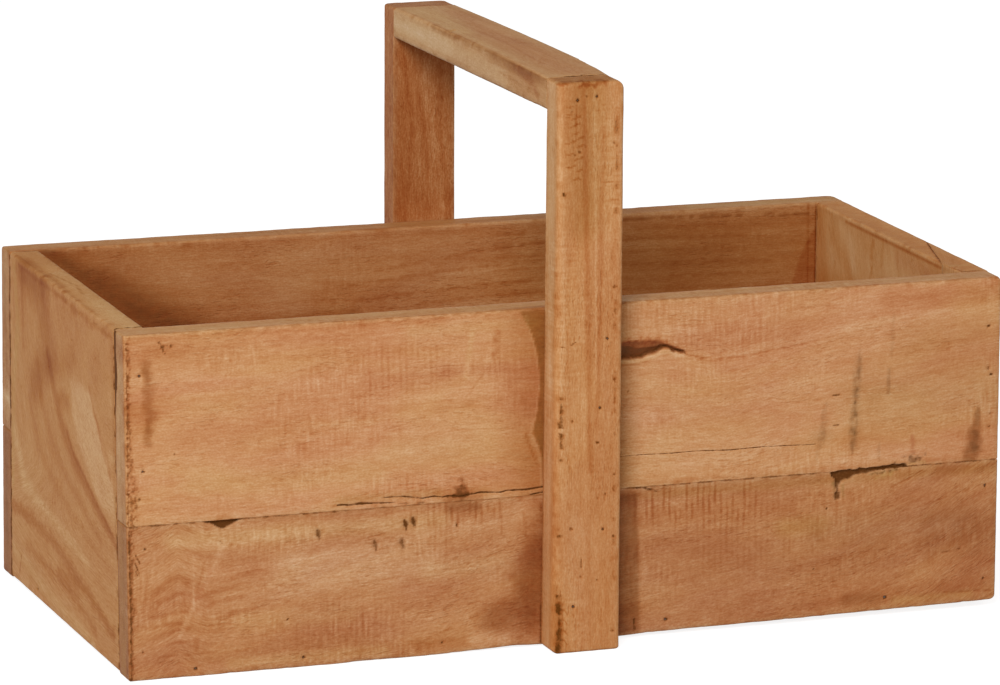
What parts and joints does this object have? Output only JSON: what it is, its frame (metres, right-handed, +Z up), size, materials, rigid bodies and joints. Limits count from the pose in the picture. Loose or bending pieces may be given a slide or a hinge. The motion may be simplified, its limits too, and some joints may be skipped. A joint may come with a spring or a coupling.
{
  "type": "wooden tote box",
  "caption": "Open oblong box of nailed reclaimed boards with a fixed hoop handle across the middle, for carrying tools, bottles or garden goods.",
  "frame": {"origin": "middle of the underside, on the surface that the box stands on", "axes": "+Z up, +X along the box's length, +Y from the front wall to the back wall"},
  "size_m": [0.4, 0.232, 0.25],
  "materials": {
    "upper_wall_wood": "oiled old hardwood, worn smooth, with saw marks, nail holes and cracks",
    "lower_wall_wood": "oiled old hardwood, worn smooth, with saw marks, nail holes and cracks",
    "end_wood": "oiled old hardwood, worn smooth, with saw marks, nail holes and cracks",
    "floor_wood": "sawn hardwood, unpolished",
    "handle_wood": "oiled old hardwood, worn smooth, with saw marks, nail holes and cracks",
    "nail_steel": "dull dark steel"
  },
  "bodies": {
    "root": {"front_upper_board": "upper_wall_wood", "front_lower_board": "lower_wall_wood", "back_upper_board": "upper_wall_wood", "back_lower_board": "lower_wall_wood", "left_end_board": "end_wood", "right_end_board": "end_wood", "right_end_patch": "end_wood", "front_floor_board": "floor_wood", "back_floor_board": "floor_wood", "front_upright": "handle_wood", "back_upright": "handle_wood", "handle_bar": "handle_wood", "front_left_corner_nails": "nail_steel", "front_right_corner_nails": "nail_steel", "back_left_corner_nails": "nail_steel", "back_right_corner_nails": "nail_steel", "front_floor_nails": "nail_steel", "front_upright_nails": "nail_steel", "front_bar_nails": "nail_steel", "back_floor_nails": "nail_steel", "back_upright_nails": "nail_steel", "back_bar_nails": "nail_steel", "left_floor_nails": "nail_steel", "right_floor_nails": "nail_steel"}
  },
  "joints": []
}
